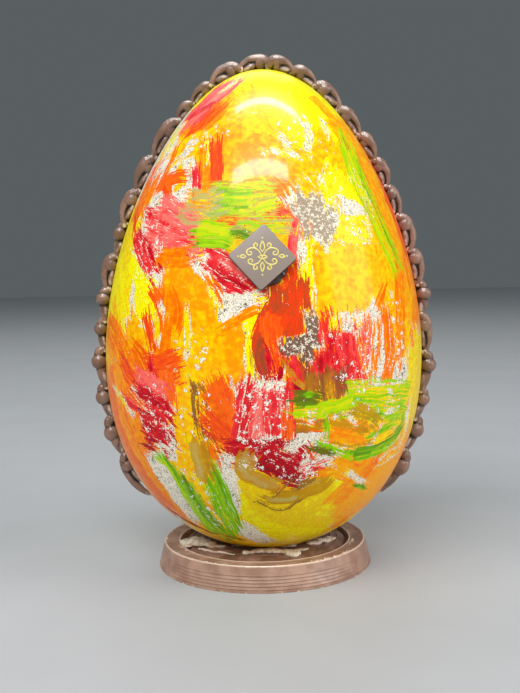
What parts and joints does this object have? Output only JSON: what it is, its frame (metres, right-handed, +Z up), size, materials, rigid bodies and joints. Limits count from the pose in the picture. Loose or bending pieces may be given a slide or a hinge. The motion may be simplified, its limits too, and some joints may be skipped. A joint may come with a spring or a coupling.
{
  "type": "decorated chocolate egg",
  "caption": "Tall chocolate egg painted with brushed colours, dark piping over its upright seam, a small square plaque in front, set on a low round chocolate disc.",
  "frame": {"origin": "middle of the flat underside of the disc, on the table", "axes": "+Z up the egg, -Y out of the side with the plaque, +X to the right seen from the front; the seam lies in the XZ plane"},
  "size_m": [0.1801, 0.1631, 0.2626],
  "materials": {
    "painted_shell": "dark chocolate brushed with coloured cocoa butter, yellow, orange, red and green with white flecks, polished by the mould",
    "dark_chocolate": "dark chocolate, satin",
    "set_chocolate": "dark chocolate poured and set, folded, satin with ivory smears",
    "plaque_chocolate": "thin moulded dark chocolate, smooth, with a pale gold ornament"
  },
  "bodies": {
    "root": {"egg_half_front": "painted_shell", "egg_half_back": "painted_shell", "disc": "dark_chocolate", "setting": "set_chocolate", "plaque": "plaque_chocolate", "plaque_dab": "set_chocolate", "piping_left_01": "dark_chocolate", "piping_left_02": "dark_chocolate", "piping_left_03": "dark_chocolate", "piping_left_04": "dark_chocolate", "piping_left_05": "dark_chocolate", "piping_left_06": "dark_chocolate", "piping_left_07": "dark_chocolate", "piping_left_08": "dark_chocolate", "piping_left_09": "dark_chocolate", "piping_left_10": "dark_chocolate", "piping_left_11": "dark_chocolate", "piping_left_12": "dark_chocolate", "piping_left_13": "dark_chocolate", "piping_left_14": "dark_chocolate", "piping_left_15": "dark_chocolate", "piping_right_01": "dark_chocolate", "piping_right_02": "dark_chocolate", "piping_right_03": "dark_chocolate", "piping_right_04": "dark_chocolate", "piping_right_05": "dark_chocolate", "piping_right_06": "dark_chocolate", "piping_right_07": "dark_chocolate", "piping_right_08": "dark_chocolate", "piping_right_09": "dark_chocolate", "piping_right_10": "dark_chocolate", "piping_right_11": "dark_chocolate", "piping_right_12": "dark_chocolate", "piping_right_13": "dark_chocolate", "piping_right_14": "dark_chocolate", "piping_right_15": "dark_chocolate"}
  },
  "joints": []
}
